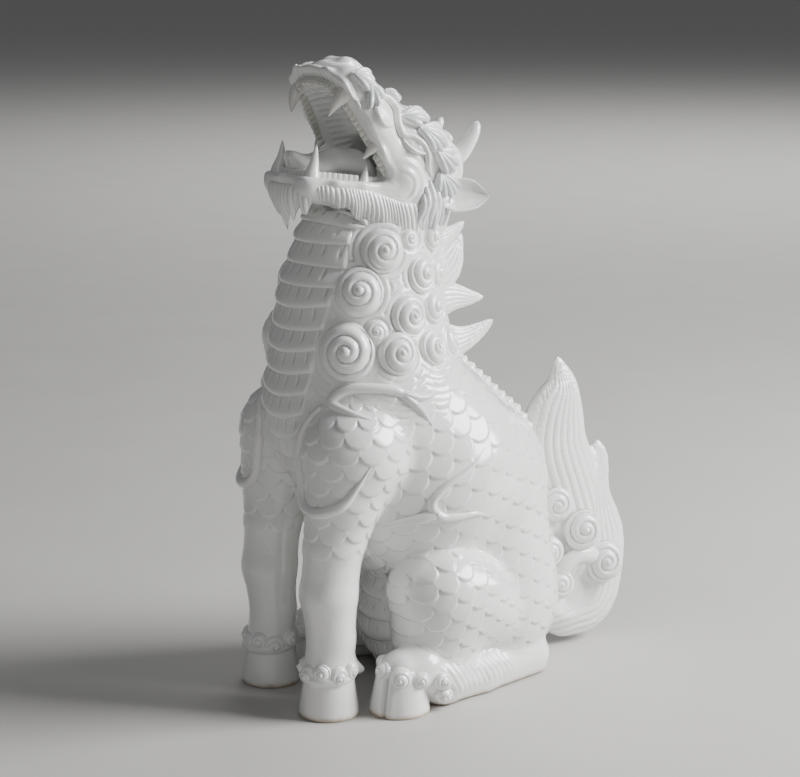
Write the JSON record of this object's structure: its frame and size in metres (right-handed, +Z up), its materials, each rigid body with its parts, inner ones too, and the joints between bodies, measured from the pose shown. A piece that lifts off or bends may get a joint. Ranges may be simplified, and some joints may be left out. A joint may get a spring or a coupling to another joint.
{
  "type": "foo dog statue",
  "caption": "Seated East Asian guardian beast in white glazed porcelain, head thrown back and roaring, with scaled flanks, a plated chest, curled mane and an upright flame tail.",
  "frame": {"origin": "on the ground, in the middle of the figure's footprint box", "axes": "+Z up, the figure faces -Y, its left side is +X"},
  "size_m": [0.2296, 0.4126, 0.6003],
  "materials": {
    "glaze_body": "clear glossy feldspathic glaze over white porcelain",
    "glaze_hair": "clear glossy feldspathic glaze over white porcelain",
    "glaze_teeth": "clear glossy feldspathic glaze over white porcelain",
    "glaze_tongue": "clear glossy feldspathic glaze over white porcelain",
    "glaze_eye": "clear glossy feldspathic glaze over white porcelain",
    "glaze_hoof": "clear glossy feldspathic glaze over white porcelain"
  },
  "bodies": {
    "root": {"trunk": "glaze_body", "neck": "glaze_body", "chest_plates": "glaze_body", "spine_ridge": "glaze_body", "foreleg_left": "glaze_body", "foreleg_right": "glaze_body", "fore_hoof_left": "glaze_hoof", "fore_hoof_right": "glaze_hoof", "fore_fetlock_curls_left": "glaze_hair", "fore_fetlock_curls_right": "glaze_hair", "thigh_left": "glaze_body", "thigh_right": "glaze_body", "hind_foot_left": "glaze_body", "hind_foot_right": "glaze_body", "hind_hoof_left": "glaze_hoof", "hind_hoof_right": "glaze_hoof", "hind_fetlock_curls_left": "glaze_hair", "hind_fetlock_curls_right": "glaze_hair", "shoulder_flames_left": "glaze_hair", "shoulder_flames_right": "glaze_hair", "flank_flames_left": "glaze_hair", "flank_flames_right": "glaze_hair", "skull": "glaze_body", "lower_jaw": "glaze_body", "tongue": "glaze_tongue", "nose": "glaze_body", "upper_teeth": "glaze_teeth", "lower_teeth": "glaze_teeth", "upper_fangs": "glaze_teeth", "lower_fangs": "glaze_teeth", "eyes": "glaze_eye", "brow_ridges": "glaze_body", "brow_tufts_left": "glaze_hair", "brow_tufts_right": "glaze_hair", "horn_left": "glaze_body", "horn_right": "glaze_body", "ear_left": "glaze_body", "ear_right": "glaze_body", "beard": "glaze_hair", "jaw_fringe_left": "glaze_hair", "jaw_fringe_right": "glaze_hair", "cheek_locks_left": "glaze_hair", "cheek_locks_right": "glaze_hair", "mane_curls_left": "glaze_hair", "mane_curls_right": "glaze_hair", "nape_flames": "glaze_hair", "tail": "glaze_hair", "tail_curls_left": "glaze_hair", "tail_curls_right": "glaze_hair"}
  },
  "joints": []
}
